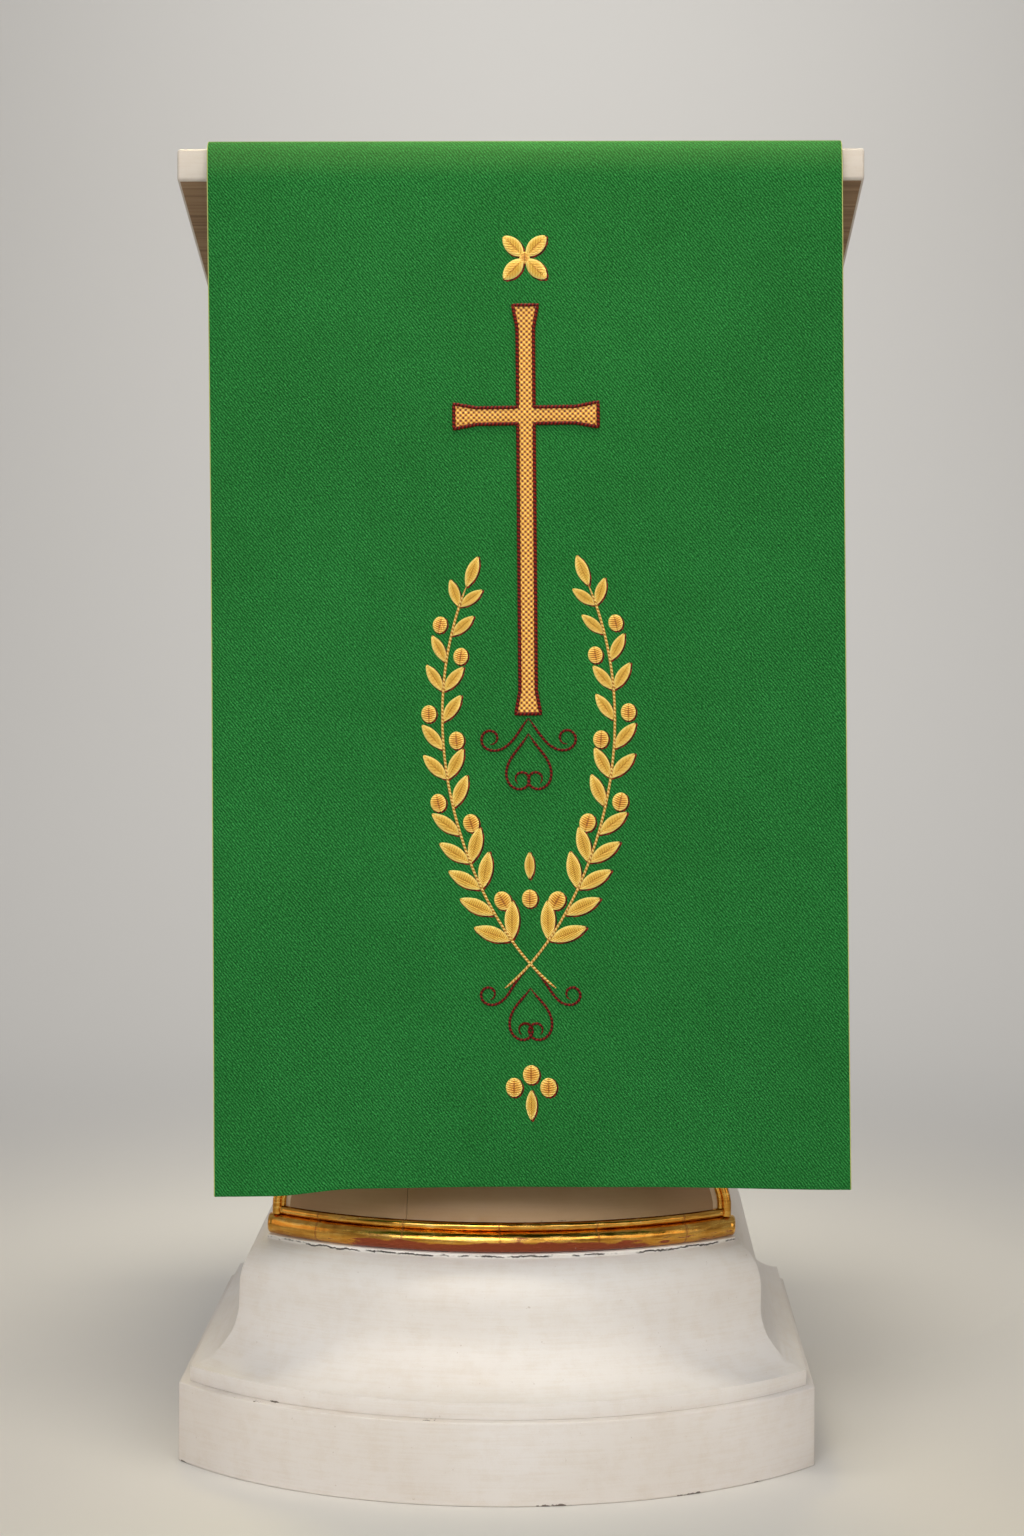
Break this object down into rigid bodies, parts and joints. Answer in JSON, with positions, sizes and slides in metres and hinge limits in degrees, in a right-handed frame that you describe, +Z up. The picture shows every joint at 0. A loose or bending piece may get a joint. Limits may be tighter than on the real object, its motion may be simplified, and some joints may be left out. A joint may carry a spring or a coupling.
{
  "type": "lectern cover on lectern",
  "caption": "Long green woven cover with gold stitching, hung over the sloping desk of a white painted lectern with a bowed, moulded foot and gilded beads.",
  "frame": {"origin": "centre of the plinth's flat underside, on the floor", "axes": "+Z up, -Y towards the people and the hanging front of the cover, +Y towards the reader, +X to the right seen from the front"},
  "size_m": [0.5635, 0.545, 1.0662],
  "materials": {
    "plinth_paint": "white oil paint over wood, satin",
    "moulding_paint": "white oil paint over wood, satin",
    "shaft_paint": "white oil paint over wood, satin",
    "panel_paint": "white oil paint over wood, satin",
    "bead_gilt": "burnished gold leaf over red clay on wood, rubbed",
    "strip_gilt": "burnished gold leaf over red clay on wood, rubbed",
    "desk_paint": "white oil paint over wood, satin",
    "cover_cloth": "matt woven wool blend in green with gold and dark red stitching"
  },
  "bodies": {
    "root": {"plinth": "plinth_paint", "foot_moulding": "moulding_paint", "shaft": "shaft_paint", "front_panel": "panel_paint", "gilded_bead": "bead_gilt", "gilded_strip_left": "strip_gilt", "gilded_strip_right": "strip_gilt", "desk_board": "desk_paint", "cover": "cover_cloth"}
  },
  "joints": []
}
